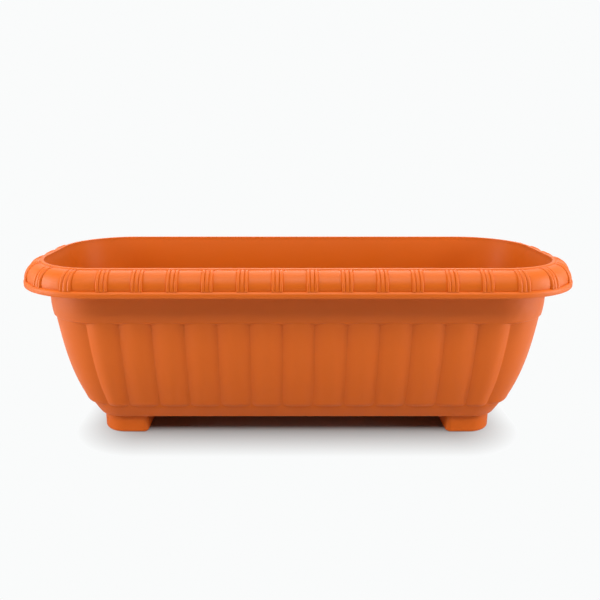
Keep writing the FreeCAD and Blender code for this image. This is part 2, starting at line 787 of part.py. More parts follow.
def make_grid(name, side):
    """Half of the raised drainage grid: slotted plate, edge skirt and legs."""
    body = new_body(name)
    skirt_bottom = GRID_TOP - cell("grid_skirt")
    room = cell("wall") + cell("grid_gap")
    reach, across, corner = [part - room for part in wall_shape(skirt_bottom)]
    near = half("grid_split")
    tight = cell("grid_split_radius")

    def draw_half(sketch, inward):
        far = reach - inward
        close = NOTHING - near - inward
        outside = across - inward
        round_far = corner - inward
        round_near = tight - inward
        if side > 0:
            sides = (close, far)
            radii = [round_far, round_far, round_near, round_near]
        else:
            sides = (far, close)
            radii = [round_near, round_near, round_far, round_far]
        draw_rounded(sketch, *sides, outside, outside, radii)

    plan = new_sketch(body, "plan", lift=skirt_bottom)
    draw_half(plan, NOTHING)
    pad(body, plan, cell("grid_skirt"), "plate")
    hollow = new_sketch(body, "hollow_plan", lift=skirt_bottom)
    draw_half(hollow, cell("grid_skirt_wall"))
    pocket(body, hollow, cell("grid_skirt") - cell("grid_plate"), "hollow", reverse=True)

    legs = new_sketch(body, "leg_plan", lift=FLOOR_LEVEL)
    facing = number(side)
    spots = [(cell("end_leg"), NOTHING)]
    for step in range(int(size("legs_per_row"))):
        along = cell("first_leg") + cell("leg_pitch") * number(step)
        for row in (-1, 1):
            spots.append((along, half("leg_rows_apart") * number(row)))
    for index, (along, aside) in enumerate(spots):
        draw_circle(legs, cell("leg_radius"), along * facing, aside, f"_{index}")
    pad(body, legs, cell("grid_height") - cell("grid_plate") / TWO, "legs")

    holes = new_sketch(body, "hole_plan", lift=GRID_TOP)
    draw_circle(
        holes, cell("finger_hole_radius"), cell("finger_hole_offset") * facing, NOTHING)
    pocket(body, holes, cell("grid_plate"), "finger_hole")

    slots = new_sketch(body, "slot_plan", lift=GRID_TOP)
    thin = half("slot_width")
    middle = cell("first_slot") * facing
    for row in (-1, 1):
        line = half("slot_rows_apart") * number(row)
        draw_rounded(
            slots, thin - middle, thin + middle, half("slot_length") - line,
            half("slot_length") + line, [thin * SLOT_END] * 4, f"_{row + 1}")
    slot = pocket(body, slots, cell("grid_plate"), "slots")
    run = body.newObject("PartDesign::LinearPattern", f"{name}_slot_run")
    run.Originals = [slot]
    run.Direction = (slots, ["H_Axis"])
    run.Reversed = side < 0
    count = cell("slots_per_row")
    bind(run, Length=cell("slot_pitch") * (count - ONE), Occurrences=count)
    body.Tip = run
    return body


# -------------------------------------------------------------------- the object

pieces = [make_trough()]
pieces += [make_foot(*foot) for foot in FEET]
pieces += [make_plug(*plug) for plug in PLUGS]
pieces += [make_grid("drain_grid_left", -1), make_grid("drain_grid_right", 1)]
doc.recompute()

for thing in doc.Objects:
    if "Invalid" in thing.State or "Error" in thing.State:
        raise RuntimeError(f"{thing.Name} did not build: {thing.State}")
os.makedirs("parts", exist_ok=True)
for piece in pieces:
    shape = piece.Shape
    if shape.isNull() or not shape.isValid() or not shape.Solids:
        raise RuntimeError(f"{piece.Label} has no sound shape")
for piece in pieces:
    piece.Shape.exportStep(f"parts/{piece.Label}.step")
    print(f"{piece.Label}: {piece.Shape.Volume / 1000:.1f} cm3")
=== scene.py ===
import bpy
import math
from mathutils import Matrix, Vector
from mathutils.geometry import delaunay_2d_cdt


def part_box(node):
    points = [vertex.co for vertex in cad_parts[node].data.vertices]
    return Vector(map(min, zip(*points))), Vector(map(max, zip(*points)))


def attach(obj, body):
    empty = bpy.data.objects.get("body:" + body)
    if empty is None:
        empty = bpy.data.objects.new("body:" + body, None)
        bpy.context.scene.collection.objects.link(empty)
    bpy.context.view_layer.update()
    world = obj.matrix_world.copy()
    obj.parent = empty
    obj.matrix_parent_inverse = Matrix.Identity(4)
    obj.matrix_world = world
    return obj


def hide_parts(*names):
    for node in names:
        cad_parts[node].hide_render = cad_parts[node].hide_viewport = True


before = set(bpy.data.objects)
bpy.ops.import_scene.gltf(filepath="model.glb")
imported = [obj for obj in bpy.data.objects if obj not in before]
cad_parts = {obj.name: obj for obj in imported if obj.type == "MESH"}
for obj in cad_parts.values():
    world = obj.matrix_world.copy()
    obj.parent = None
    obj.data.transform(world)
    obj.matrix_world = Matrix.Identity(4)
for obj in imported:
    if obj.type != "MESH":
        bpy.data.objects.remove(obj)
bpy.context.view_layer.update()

# Window box planter, in metres: the trough is modelled again with its fine relief,
# the feet, plugs and drainage grid are the frame's own pieces with moulded finishes.
# Sizes below are written in millimetres and turned into metres by MM.

MM = 0.001
QUARTER = math.pi / 2
RUNS = 8  # straights and corners of a rounded rectangle

# ------------------------------------------------------------------ sizes

trough_low, trough_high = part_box("trough")
RIM_HALF_LENGTH = (trough_high[0] - trough_low[0]) / 2
RIM_HALF_WIDTH = (trough_high[1] - trough_low[1]) / 2
RIM_CORNER_RADIUS = 92 * MM
TOP = trough_high[2]
BASE_LEVEL = trough_low[2]

RIM_DEPTH = 26.4 * MM
RIM_OVERHANG = 25.5 * MM
RIM_MOUTH = 22.4 * MM
LIP_BAND = 6.4 * MM
LIP_LEDGE = 1.8 * MM
BEAD_WIDTH = 4.0 * MM
BEAD_RISE = 1.2 * MM
BEAD_STANDOFF = 0.2 * MM
VALLEY_DEPTH = 0.3 * MM
VALLEY_SHARE = 0.6  # the valley's middle, as a share of the bead's standoff
BEAD_LEAN = 1.5  # above 1 the bead's crest lies nearer the mouth
BEAD_FULLNESS = 0.8  # below 1 the bead is fuller than half an ellipse
BEAD_STEPS = 16
EDGE_ROUND = 0.8 * MM
MOUTH_FLARE = 2.2  # how early the inside of the rim meets the collar
MOUTH_STEPS = 16
SHELL_STEPS = 8
LEDGE_SLOPE = 2.1 * MM
LEDGE_SHARPNESS = 1.6  # 1 is a quarter round, above it nears a chamfer
LEDGE_STEPS = 8
WALL = 2.2 * MM
FLOOR = 3.0 * MM
FLOOR_FILLET = 5.0 * MM
FILLET_LEAD = 1.4  # height of the last plain ring over the fillet's radius
FILLET_STEPS = 6
COLLAR_DEPTH = 33.4 * MM
COLLAR_DRAFT = 0.8 * MM
COLLAR_ROLL = 12.0 * MM
COLLAR_TUCK = 1.2 * MM
TUCK_FALLOFF = 1.5
COLLAR_PARTS = (0.04, 0.12, 0.25, 0.4, 0.55, 0.75, 1)
COLLAR_DRAFT_PARTS = (0.4, 0.2, 0)
STEP_SLOPE = 0.73
STEP_SOFTNESS = 0.5
STEP_PARTS = (1, 0.93, 0.8, 0.6, 0.4, 0.2, 0.07, 0)
STEP_CLEARANCE = 1.5 * MM  # last straight reeded ring below the step
REED_SETBACK = 5.6 * MM
BASE_HALF_LENGTH = 231.0 * MM
BASE_HALF_WIDTH = 59.0 * MM
BASE_CORNER_RADIUS = 32.0 * MM
WALL_BELLY = 7.8 * MM
BELLY_SKEW = 0.6

REED_RELIEF = 4.0 * MM
REED_SINK = 0.8 * MM
REED_PITCH = 34.2 * MM
REEDS_PER_SIDE = 13
END_REED_PITCH = 36.0 * MM
CORNER_GROOVE_TURN = math.radians(15)
REED_FOOT = 10.0 * MM
REED_END_CORNER = 0.4
REED_END_RISE = 6.5 * MM
REED_END_ROUND = 5.5 * MM
BAND_HEIGHT = 16.5 * MM
BAND_LEVELS = (4 * MM, 8 * MM, 12 * MM)
BAND_EDGE_DEPTH = 0.5 * MM
BAND_EDGE_DROP = 0.1 * MM
BAND_EDGE_INSET = 0.15 * MM
REED_FOOT_RISES = (0, 0.3, 0.7, 1.2, 1.8, 2.5, 3.3, 4.2, 5.2, 6.3, 7.5, 8.8, 10.2)
REED_RINGS = 12
GROOVE_ROUND = 0.16 * MM

RIB_SETS = 42
RIB_SET_WIDTH = 11.9 * MM
RIB_WIDTH = 3.7 * MM
RIB_SHIFT = -4.2 * MM
GROOVE_FLOOR = 0.45 * MM
RIB_RELIEF = 1.8 * MM
RIB_MIDDLE_RELIEF = 1.6 * MM
PANEL_RELIEF = 0.9 * MM
PANEL_SHOULDER = 1.8 * MM
RIB_MIDDLE_SHOULDER = 2.0 * MM
CROWN_STOCK = 1.2 * MM
CROWN_TUCK = 1.0 * MM
RIB_FLARE = 1.3 * MM
CROWN_CORNER = 3.2 * MM
CORNER_DEPTH = 0.8
CROWN_TOP_ROUND = 1.6 * MM
GROOVE_RUNOUT = 1.4 * MM
SPREAD_FALLOFF = 3  # how fast tuck and flare fade from the ledge upwards

FOOT_PLACES = [(x * MM, y * MM) for x in (-199, 199) for y in (-33, 33)]
SOCKET_RADIUS = 6.1 * MM
SOCKET_DEPTH = 9.4 * MM
SOCKET_WALL = 2.5 * MM
PLUG_PLACES = [x * MM for x in (-150, -70, 70, 150)]
PLUG_HOLE_RADIUS = 10.0 * MM
HOLE_SIDES = 48

LIP_LEVEL = TOP - RIM_DEPTH
LEDGE_LEVEL = LIP_LEVEL + LIP_BAND
SHELF_LEVEL = LIP_LEVEL - COLLAR_DEPTH
REED_TOP = SHELF_LEVEL - 2.0 * MM
BAND_TOP = BASE_LEVEL + BAND_HEIGHT
FLOOR_LEVEL = BASE_LEVEL + FLOOR
CROWN_TOP = TOP - BEAD_RISE
CROWN_INSET = RIM_MOUTH - BEAD_WIDTH - BEAD_STANDOFF
CROWN_REACH = CROWN_INSET - LIP_LEDGE
CROWN_RISE = CROWN_TOP - LEDGE_LEVEL


# --------------------------------------------------------------- outlines

class Outline:
    """Rounded rectangle about the Z axis, walked anticlockwise from the front left."""

    def __init__(self, half_length, half_width, radius):
        self.half_length = half_length
        self.half_width = half_width
        self.radius = radius
        self.front_half = half_length - radius
        self.end_half = half_width - radius
        corner = radius * QUARTER
        self.runs = [2 * self.front_half, corner, 2 * self.end_half, corner] * 2
        self.total = sum(self.runs)

    def inset(self, amount):
        return Outline(
            self.half_length - amount, self.half_width - amount, self.radius - amount)

    def station(self, run, along):
        """Distance walked to a place: along is the distance from a straight's middle,
        or the turn into a corner."""
        start = sum(self.runs[:run])
        if run % 2:
            return start + along * self.radius
        return start + self.runs[run] / 2 + along

    def split(self, walked):
        """The run that a walked distance lies on, and the share of that run."""
        walked = walked % self.total
        run = 0
        while run < RUNS - 1 and walked > self.runs[run]:
            walked -= self.runs[run]
            run += 1
        return run, walked / self.runs[run]

    def walk_to(self, run, share):
        return sum(self.runs[:run]) + self.runs[run] * share

    def place(self, walked):
        """Point and outward normal after walking a distance."""
        run, share = self.split(walked)
        side = run % 4
        along = share * self.runs[run]
        if side == 0:
            x, y, nx, ny = along - self.front_half, -self.half_width, 0.0, -1.0
        elif side == 2:
            x, y, nx, ny = self.half_length, along - self.end_half, 1.0, 0.0
        else:
            turn = share * QUARTER + (0 if side == 1 else QUARTER)
            nx, ny = math.sin(turn), -math.cos(turn)
            x = self.front_half + self.radius * nx
            y = (-self.end_half if side == 1 else self.end_half) + self.radius * ny
        flip = -1 if run > 3 else 1
        return flip * x, flip * y, flip * nx, flip * ny


LIP = Outline(RIM_HALF_LENGTH, RIM_HALF_WIDTH, RIM_CORNER_RADIUS)
COLLAR = LIP.inset(RIM_OVERHANG)
BASE = Outline(BASE_HALF_LENGTH, BASE_HALF_WIDTH, BASE_CORNER_RADIUS)


def wall_outline(level):
    """The grooves' outline of the tapered, bowed wall at a level."""
    taper = COLLAR.half_length - BASE.half_length
    top_share = REED_SETBACK / taper
    down = (SHELF_LEVEL - level) / (SHELF_LEVEL - BASE_LEVEL)
    bow = WALL_BELLY / taper * 4 * down * (1 - down) * (1 + BELLY_SKEW * (down - 0.5))
    share = top_share + (1 - top_share) * down - bow

    def between(high, low):
        return high + (low - high) * share

    return Outline(
        between(COLLAR.half_length, BASE.half_length),
        between(COLLAR.half_width, BASE.half_width),
        between(COLLAR.radius, BASE.radius))


# ------------------------------------------------------------ mesh builder

FILL_INSIDE = 2  # keep the triangles inside the outer ring and outside the holes
MERGE_WITHIN = 1e-7
CREASE = math.radians(38)


class Moulding:
    """Vertices and faces gathered ring by ring."""

    def __init__(self):
        self.points = []
        self.faces = []

    def add(self, points):
        """Adds points and returns their numbers."""
        first = len(self.points)
        self.points.extend(points)
        return list(range(first, first + len(points)))

    def band(self, lower, upper):
        """Quads between two rings with as many points."""
        count = len(lower)
        for index in range(count):
            after = (index + 1) % count
            self.faces.append((lower[index], lower[after], upper[after], upper[index]))

    def stack(self, rings):
        for lower, upper in zip(rings, rings[1:]):
            self.band(lower, upper)

    def stitch(self, lower, lower_shares, upper, upper_shares):
        """Triangles between two rings with their own shares of the way round."""
        low, high = 0, 0
        low_count, high_count = len(lower), len(upper)
        while low < low_count or high < high_count:
            next_low = lower_shares[low + 1] if low + 1 < low_count else 1 + lower_shares[0]
            next_high = upper_shares[high + 1] if high + 1 < high_count else 1 + upper_shares[0]
            a, b = lower[low % low_count], upper[high % high_count]
            if high >= high_count or (low < low_count and next_low <= next_high):
                self.faces.append((a, lower[(low + 1) % low_count], b))
                low += 1
            else:
                self.faces.append((a, upper[(high + 1) % high_count], b))
                high += 1

    def holed_sheet(self, ring, circles, up):
        """Flat face inside a ring, with round holes, in triangles."""
        numbers = list(ring)
        edges = [(i, (i + 1) % len(ring)) for i in range(len(ring))]
        for circle in circles:
            first = len(numbers)
            numbers.extend(circle)
            count = len(circle)
            edges.extend((first + i, first + (i + 1) % count) for i in range(count))
        flat = [Vector(self.points[number][:2]) for number in numbers]
        made = delaunay_2d_cdt(flat, edges, [], FILL_INSIDE, MERGE_WITHIN)
        origins = [numbers[source[0]] for source in made[3]]
        for corner_a, corner_b, corner_c in made[2]:
            triangle = (origins[corner_a], origins[corner_b], origins[corner_c])
            self.faces.append(triangle if up else triangle[::-1])

    def circle(self, x, y, radius, level):
        return self.add([
            (x + radius * math.cos(turn), y + radius * math.sin(turn), level)
            for turn in (2 * math.pi * step / HOLE_SIDES for step in range(HOLE_SIDES))])

    def disc(self, ring, up):
        self.faces.append(tuple(ring) if up else tuple(ring[::-1]))

    def finish(self, name):
        mesh = bpy.data.meshes.new(name)
        mesh.from_pydata(self.points, [], self.faces)
        mesh.validate()
        mesh.shade_smooth()
        mesh.set_sharp_from_angle(angle=CREASE)
        piece = bpy.data.objects.new(name, mesh)
        bpy.context.collection.objects.link(piece)
        return piece


# ------------------------------------------------------- reeds and ribs

GROOVE_SHARES = (0, 0.008, 0.02, 0.04, 0.07, 0.12, 0.2, 0.3, 0.4)
REED_SHARES = GROOVE_SHARES + (0.5,) + tuple(1 - share for share in GROOVE_SHARES[:0:-1])
CORNER_REED_SHARES = (
    GROOVE_SHARES[:6] + tuple(0.17 + 0.06 * step for step in range(12))
    + tuple(1 - share for share in GROOVE_SHARES[5:0:-1]))


def reed_places():
    """Grooves between reeds as (run, along), walked round."""
    grooves = REEDS_PER_SIDE - 1
    side = [(number - (grooves - 1) / 2) * REED_PITCH for number in range(grooves)]
    corner = [CORNER_GROOVE_TURN, QUARTER - CORNER_GROOVE_TURN]
    end = [-END_REED_PITCH / 2, END_REED_PITCH / 2]
    return [
        (run, along) for run, spots in enumerate([side, corner, end, corner] * 2)
        for along in spots]


REED_PLACES = reed_places()


def arch(share):
    """Height across a reed: 0 at its grooves, 1 at its crest, with a soft groove."""
    soft = GROOVE_ROUND / REED_RELIEF
    bow = 4 * share * (1 - share)
    return (math.hypot(bow, soft) - soft) / (math.hypot(1, soft) - soft)


def reed_walk(outline):
    """(distance walked, share of the way across its reed) for a reeded ring."""
    starts = [outline.station(run, along) for run, along in REED_PLACES]
    walk = []
    for index, start in enumerate(starts):
        after = (index + 1) % len(starts)
        end = starts[after] + (outline.total if after == 0 else 0)
        run = REED_PLACES[index][0]
        wide = run % 2 == 1 and REED_PLACES[after][0] == run
        for share in CORNER_REED_SHARES if wide else REED_SHARES:
            walk.append((start + (end - start) * share, share))
    return walk


def ring_of(outline, walk, spot):
    """Points of a ring; spot gives (distance out, level) for each share."""
    points = []
    for walked, share in walk:
        x, y, nx, ny = outline.place(walked)
        out, level = spot(share)
        points.append((x + nx * out, y + ny * out, level))
    return points


def plain_ring(outline, level):
    """Ring at one level, with the reeds' points."""
    return ring_of(outline, reed_walk(outline), lambda share: (0.0, level))


def reed_ring(level, inward, fade):
    """Reeded ring of the wall; fade gives how far out the reed stands, 0 to 1."""
    outline = wall_outline(level).inset(inward)
    return ring_of(outline, reed_walk(outline), lambda share: (
        REED_RELIEF * arch(share) * fade(share), level))


def reed_sink(level):
    """How far the grooves lie inside the wall's outline, from the reeds' foot up."""
    return REED_SINK * min(1.0, (level - BAND_TOP) / REED_FOOT)


def reed_end(level):
    """Fade of a reed near its rounded lower end, as a function of share."""
    def fade(share):
        aside = abs(2 * share - 1)
        corner = max(0.0, (aside - 1 + REED_END_CORNER) / REED_END_CORNER)
        foot = REED_END_RISE * (1 - math.sqrt(1 - corner * corner))
        above = min(1.0, max(0.0, (level - BAND_TOP - foot) / REED_END_ROUND))
        return math.sqrt(1 - (1 - above) ** 2)
    return fade


def collar_ring(part):
    """The collar's rolled lower edge, from its foot at part 0 up to part 1."""
    rise = COLLAR_ROLL * part
    taper = COLLAR_DRAFT * (1 - rise / COLLAR_DEPTH)
    tuck = COLLAR_TUCK * (1 - part) ** TUCK_FALLOFF
    return plain_ring(COLLAR.inset(taper + tuck), SHELF_LEVEL + rise)


def step_ring(part):
    """The sloped step under the collar, from the collar at part 0 to the reeds at 1."""
    over = collar_ring(0)
    under = reed_ring(REED_TOP, REED_SINK, lambda share: 1)
    points = []
    for (x, y, top), (reed_x, reed_y, low) in zip(over, under):
        drop = STEP_SLOPE * math.hypot(reed_x - x, reed_y - y)
        ease = part * part * (3 - 2 * part) * STEP_SOFTNESS + part * (1 - STEP_SOFTNESS)
        points.append((
            x + (reed_x - x) * part, y + (reed_y - y) * part, top - drop * ease))
    return points


# ---------------------------------------------------------- the ribbed crown

SET_OFFSETS = (
    0, 0.9, 1.5, 1.9, 2.12, 2.25, 2.38, 2.65, 3.1, 3.6, 4.1, 4.6, 5.1, 5.55, 5.82, 5.95,
    6.1, 6.4, 6.9, 7.6, 8.6, 10.5, 13.0, 15.4)
CROWN_PARTS = (
    0, 0.04, 0.1, 0.18, 0.27, 0.37, 0.47, 0.57, 0.66, 0.74, 0.81, 0.87, 0.91, 0.945, 0.975, 1)


def crown_middle():
    return LIP.inset((RIM_MOUTH + LIP_LEDGE) / 2)


def crown_walk():
    """(run, share of the run, distance from the nearest set's middle), walked round."""
    middle = crown_middle()
    pitch = middle.total / RIB_SETS
    first = middle.station(0, RIB_SHIFT + pitch / 2)
    offsets = [offset * MM for offset in SET_OFFSETS] + [pitch / 2]
    places = []
    for number in range(RIB_SETS):
        centre = first + number * pitch
        for offset in [-offset for offset in offsets[:0:-1]] + offsets[:-1]:
            run, share = middle.split(centre + offset)
            places.append((run + share, run, share, abs(offset)))
    return [place[1:] for place in sorted(places)]


CROWN_WALK = crown_walk()


def rib_height(offset, below_top):
    """Relief across a rib set and its panel; below_top is the length left to the bead."""
    rib_middle = (RIB_SET_WIDTH - RIB_WIDTH) / 2
    inner = rib_middle - RIB_WIDTH / 2
    if offset < inner:
        from_edge, relief, shoulder = inner - offset, RIB_MIDDLE_RELIEF, RIB_MIDDLE_SHOULDER
    elif offset < RIB_SET_WIDTH / 2:
        from_edge, relief = RIB_WIDTH / 2 - abs(offset - rib_middle), RIB_RELIEF
        shoulder = RIB_WIDTH / 2
    else:
        from_edge, relief = offset - RIB_SET_WIDTH / 2, PANEL_RELIEF
        shoulder = PANEL_SHOULDER
    reach = min(1.0, from_edge / shoulder)
    bow = math.sqrt(max(0.0, 1 - (1 - reach) ** 2))
    corner = max(0.0, 1 - from_edge / CROWN_CORNER)
    left = below_top - CROWN_CORNER * (1 - math.sqrt(1 - corner * corner)) * CORNER_DEPTH
    top = min(1.0, max(0.0, left / CROWN_TOP_ROUND))
    raised = GROOVE_FLOOR + (relief - GROOVE_FLOOR) * bow
    return raised * math.sqrt(1 - (1 - top) ** 2)


def rib_share(offset):
    """1 on the three ribs, 0 on the panels and in the outer grooves."""
    inside = (RIB_SET_WIDTH / 2 - offset) / (RIB_WIDTH / 4)
    return min(1.0, max(0.0, inside))


def crown_ring(part):
    """One ring of the crown, from the ledge at part 0 to the bead's foot at 1."""
    turn = part * QUARTER
    reach, rise = CROWN_REACH - CROWN_STOCK, CROWN_RISE - CROWN_STOCK
    outline = LIP.inset(CROWN_INSET - reach * math.cos(turn))
    level = LEDGE_LEVEL + rise * math.sin(turn)
    below_top = (1 - part) * QUARTER * (reach + rise) / 2
    runout = (CROWN_STOCK - VALLEY_DEPTH) * max(0.0, 1 - below_top / GROOVE_RUNOUT) ** 2
    points = []
    for run, share, offset in CROWN_WALK:
        x, y, nx, ny = outline.place(outline.walk_to(run, share))
        height = max(runout, rib_height(offset, below_top))
        spread = RIB_FLARE * rib_share(offset) - CROWN_TUCK
        out = height * math.cos(turn) + spread * (1 - part) ** SPREAD_FALLOFF
        points.append((x + nx * out, y + ny * out, level + height * math.sin(turn)))
    return points


# ------------------------------------------------------------- the trough

def make_trough():
    """The whole moulding as one closed skin."""
    made = Moulding()
    body_shares = [sum(LIP.split(walked)) / RUNS for walked, share in reed_walk(LIP)]
    crown_shares = [(run + share) / RUNS for run, share, offset in CROWN_WALK]

    def rim(inset, level):
        return made.add(plain_ring(LIP.inset(inset), level))

    def collar(inset, level):
        return made.add(plain_ring(COLLAR.inset(inset), level))

    def wall(level, inset):
        return made.add(plain_ring(wall_outline(level).inset(inset), level))

    # outside, from the underside up to the collar
    edge = [(EDGE_ROUND * (1 - math.sin(turn)), BASE_LEVEL + EDGE_ROUND * (1 - math.cos(turn)))
            for turn in (0, QUARTER / 3, QUARTER * 2 / 3, QUARTER)]
    outside = [wall(level, inset) for inset, level in edge]
    under = outside[0]
    outside += [wall(BASE_LEVEL + rise, 0) for rise in BAND_LEVELS]
    outside.append(wall(BAND_TOP - BAND_EDGE_DEPTH, 0))
    outside.append(wall(BAND_TOP - BAND_EDGE_DROP, BAND_EDGE_INSET))
    for rise in REED_FOOT_RISES:
        level = BAND_TOP + rise * MM
        outside.append(made.add(reed_ring(level, reed_sink(level), reed_end(level))))
    low = BAND_TOP + REED_FOOT_RISES[-1] * MM
    top = SHELF_LEVEL - STEP_SLOPE * (REED_SETBACK - COLLAR_DRAFT) - STEP_CLEARANCE
    for step in range(1, REED_RINGS + 1):
        level = low + (top - low) * step / REED_RINGS
        outside.append(made.add(reed_ring(level, REED_SINK, lambda share: 1)))
    outside += [made.add(step_ring(part)) for part in STEP_PARTS]
    outside += [made.add(collar_ring(part)) for part in COLLAR_PARTS]
    outside += [collar(COLLAR_DRAFT * share, LIP_LEVEL - COLLAR_DEPTH * share)
                for share in COLLAR_DRAFT_PARTS]

    # hollow under the rim, and the lip
    shell_reach, shell_rise = CROWN_REACH - WALL, CROWN_RISE - WALL
    outside.append(rim(CROWN_INSET + WALL, LEDGE_LEVEL + shell_rise - WALL))
    for step in range(SHELL_STEPS + 1):
        turn = QUARTER * (1 - step / SHELL_STEPS)
        outside.append(rim(
            CROWN_INSET - shell_reach * math.cos(turn), LEDGE_LEVEL + shell_rise * math.sin(turn)))
    lip = EDGE_ROUND / 2
    outside += [rim(WALL, LIP_LEVEL + lip), rim(WALL - lip / 3, LIP_LEVEL + lip / 3),
                rim(WALL - lip, LIP_LEVEL)]
    outside += [rim(lip * (1 - math.sin(turn)), LIP_LEVEL + lip * (1 - math.cos(turn)))
                for turn in (0, QUARTER / 2, QUARTER)]
    outside += [rim(LIP_LEDGE * (1 - math.cos(turn) ** LEDGE_SHARPNESS),
                    LEDGE_LEVEL - LEDGE_SLOPE * (1 - math.sin(turn) ** LEDGE_SHARPNESS))
                for turn in (QUARTER * step / LEDGE_STEPS for step in range(LEDGE_STEPS))]
    made.stack(outside)

    # crown, bead and mouth
    crown = [made.add(crown_ring(part)) for part in CROWN_PARTS]
    made.stack(crown)
    made.stitch(outside[-1], body_shares, crown[0], crown_shares)
    valley = CROWN_TOP - VALLEY_DEPTH
    inside = [rim(CROWN_INSET + BEAD_STANDOFF * VALLEY_SHARE, valley)]
    made.stitch(crown[-1], crown_shares, inside[0], body_shares)
    for step in range(BEAD_STEPS + 1):
        turn = math.pi * step / BEAD_STEPS
        inset = RIM_MOUTH - BEAD_WIDTH * ((1 + math.cos(turn)) / 2) ** BEAD_LEAN
        inside.append(rim(inset, valley + (TOP - valley) * math.sin(turn) ** BEAD_FULLNESS))

    # inside, down to the floor
    inner_shelf = SHELF_LEVEL + WALL
    inner_low = RIM_OVERHANG + WALL + COLLAR_DRAFT + COLLAR_TUCK / 2
    for step in range(1, MOUTH_STEPS + 1):
        share = step / MOUTH_STEPS
        inside.append(rim(
            RIM_MOUTH + (inner_low - RIM_MOUTH) * (1 - (1 - share) ** MOUTH_FLARE),
            valley + (inner_shelf - valley) * share))
    for step in range(REED_RINGS + 1):
        level = inner_shelf + (low - inner_shelf) * step / REED_RINGS
        inside.append(made.add(reed_ring(level, WALL + REED_SINK, lambda share: 1)))
    for rise in REED_FOOT_RISES[-2::-1]:
        level = BAND_TOP + rise * MM
        inside.append(made.add(reed_ring(level, WALL + reed_sink(level), reed_end(level))))
    inside.append(wall(FLOOR_LEVEL + FLOOR_FILLET * FILLET_LEAD, WALL))
    for step in range(FILLET_STEPS + 1):
        turn = QUARTER * step / FILLET_STEPS
        inside.append(wall(
            FLOOR_LEVEL + FLOOR_FILLET * (1 - math.sin(turn)),
            WALL + FLOOR_FILLET * (1 - math.cos(turn))))
    made.stack(inside)

    # floor with its drain holes, and the feet's sockets in their bosses
    upper, lower = [], []
    for x in PLUG_PLACES:
        over, below = (made.circle(x, 0.0, PLUG_HOLE_RADIUS, level)
                       for level in (FLOOR_LEVEL, BASE_LEVEL))
        made.band(over, below)
        upper.append(over)
        lower.append(below)
    for x, y in FOOT_PLACES:
        boss = [made.circle(x, y, SOCKET_RADIUS + SOCKET_WALL, level)
                for level in (FLOOR_LEVEL, BASE_LEVEL + SOCKET_DEPTH + SOCKET_WALL)]
        made.stack(boss)
        made.disc(boss[1], True)
        upper.append(boss[0])
        socket = [made.circle(x, y, SOCKET_RADIUS, level)
                  for level in (BASE_LEVEL + SOCKET_DEPTH, BASE_LEVEL)]
        made.stack(socket)
        made.disc(socket[0], False)
        lower.append(socket[1])
    made.holed_sheet(inside[-1], upper, True)
    made.holed_sheet(under, lower, False)
    return made.finish("trough_moulding")


# --------------------------------------------------------------- materials

def node(tree, kind, **settings):
    """A new node; settings are attributes, or inputs when they start with i_."""
    made = tree.nodes.new(kind)
    for name, value in settings.items():
        if name.startswith("i_"):
            made.inputs[name[2:].replace("_", " ")].default_value = value
        else:
            setattr(made, name, value)
    return made


def link(tree, *pairs):
    for source, target in pairs:
        tree.links.new(source, target)


